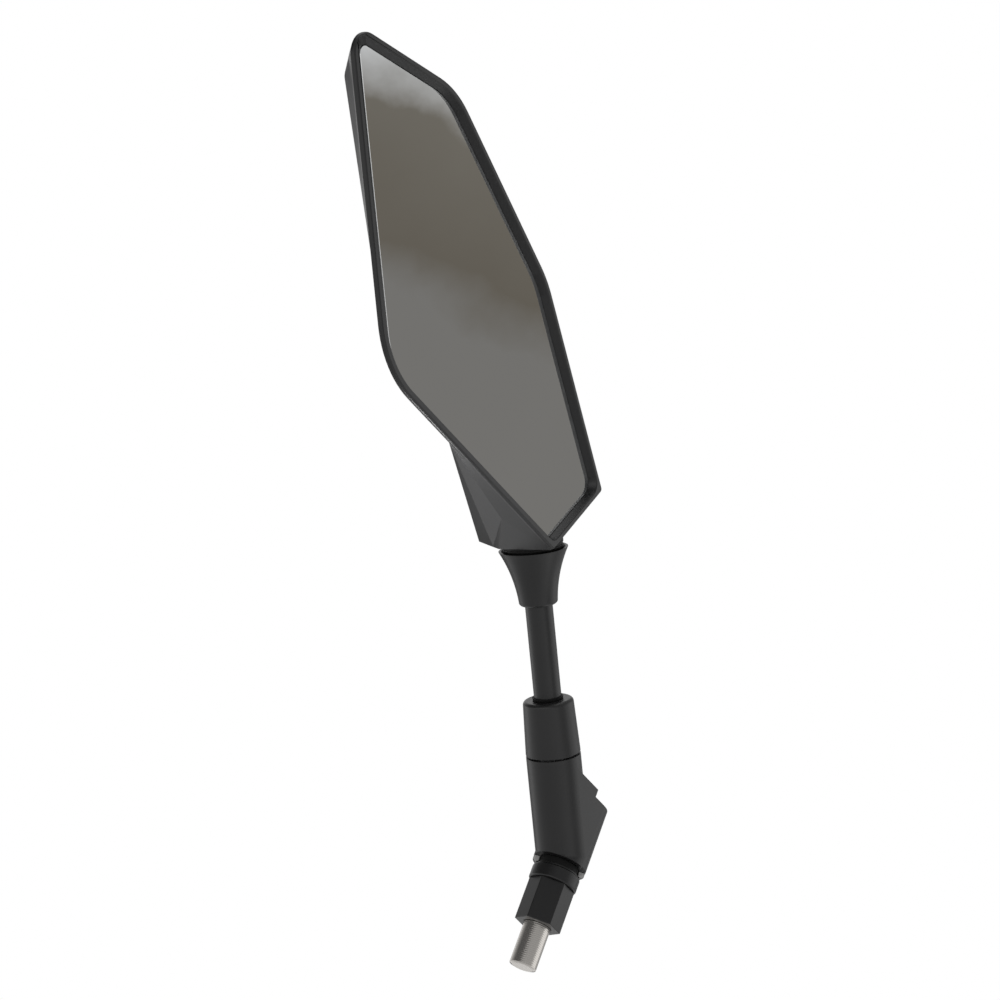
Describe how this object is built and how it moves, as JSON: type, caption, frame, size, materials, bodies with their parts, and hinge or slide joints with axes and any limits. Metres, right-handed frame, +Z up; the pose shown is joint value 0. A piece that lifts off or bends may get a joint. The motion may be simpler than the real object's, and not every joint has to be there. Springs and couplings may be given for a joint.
{
  "type": "motorcycle mirror",
  "caption": "Left-hand motorcycle mirror: faceted head on a ball joint, straight stem with cover sleeve, bent elbow and swivel base with a threaded stud.",
  "frame": {"origin": "centre of the nut's underside, where the mirror seats on its clamp, on the stud's axis", "axes": "+Z up along the stud into the elbow, the arm leans to -X, and the glass faces -Y towards the rider"},
  "size_m": [0.2788, 0.0349, 0.2109],
  "materials": {
    "plated_steel": "satin plated steel",
    "black_metal": "satin black coating",
    "black_nut": "satin black coating",
    "moulded_black": "satin moulded plastic",
    "soft_black": "matt rubber",
    "spring_steel": "bright spring steel",
    "bush_bronze": "sintered bronze",
    "liner_acetal": "smooth natural acetal",
    "mirror": "silvered flat glass",
    "foam": "closed-cell foam"
  },
  "bodies": {
    "base": {"threaded_stud": "plated_steel", "hex_nut": "black_nut", "flange_ring": "black_nut", "thrust_washer": "black_nut", "swivel_disc_1": "spring_steel", "swivel_disc_2": "spring_steel", "swivel_disc_3": "spring_steel", "swivel_disc_4": "spring_steel"},
    "stem": {"elbow": "black_metal", "dust_seal": "soft_black", "pivot_circlip": "spring_steel", "pivot_bush": "bush_bronze", "stem_rod": "black_metal", "lock_nut": "spring_steel", "cover_sleeve": "moulded_black", "rod_seal": "soft_black", "flared_boot": "moulded_black"},
    "liner": {"ball_liner": "liner_acetal"},
    "cup": {"pressure_cup": "liner_acetal"},
    "head": {"housing_shell": "moulded_black", "mirror_glass": "mirror", "glass_pad": "foam", "socket_ring": "moulded_black", "cup_disc_1": "spring_steel", "cup_disc_2": "spring_steel"}
  },
  "joints": [
    {"name": "base_swivel", "type": "hinge", "parent": "base", "child": "stem", "pos_m": [0, 0, 0.0285], "axis": [0, 0, 1], "range_deg": [-60, 60]},
    {"name": "head_roll", "type": "hinge", "parent": "stem", "child": "liner", "pos_m": [-0.08259, 0, 0.11109], "axis": [0, 1, 0], "range_deg": [-3, 12]},
    {"name": "head_tilt", "type": "hinge", "parent": "liner", "child": "cup", "pos_m": [-0.08259, 0, 0.11109], "axis": [0.7071, 0, 0.7071], "range_deg": [-7, 7]},
    {"name": "head_turn", "type": "hinge", "parent": "cup", "child": "head", "pos_m": [-0.08259, 0, 0.11109], "axis": [-0.7071, 0, 0.7071], "range_deg": [-45, 45]}
  ]
}
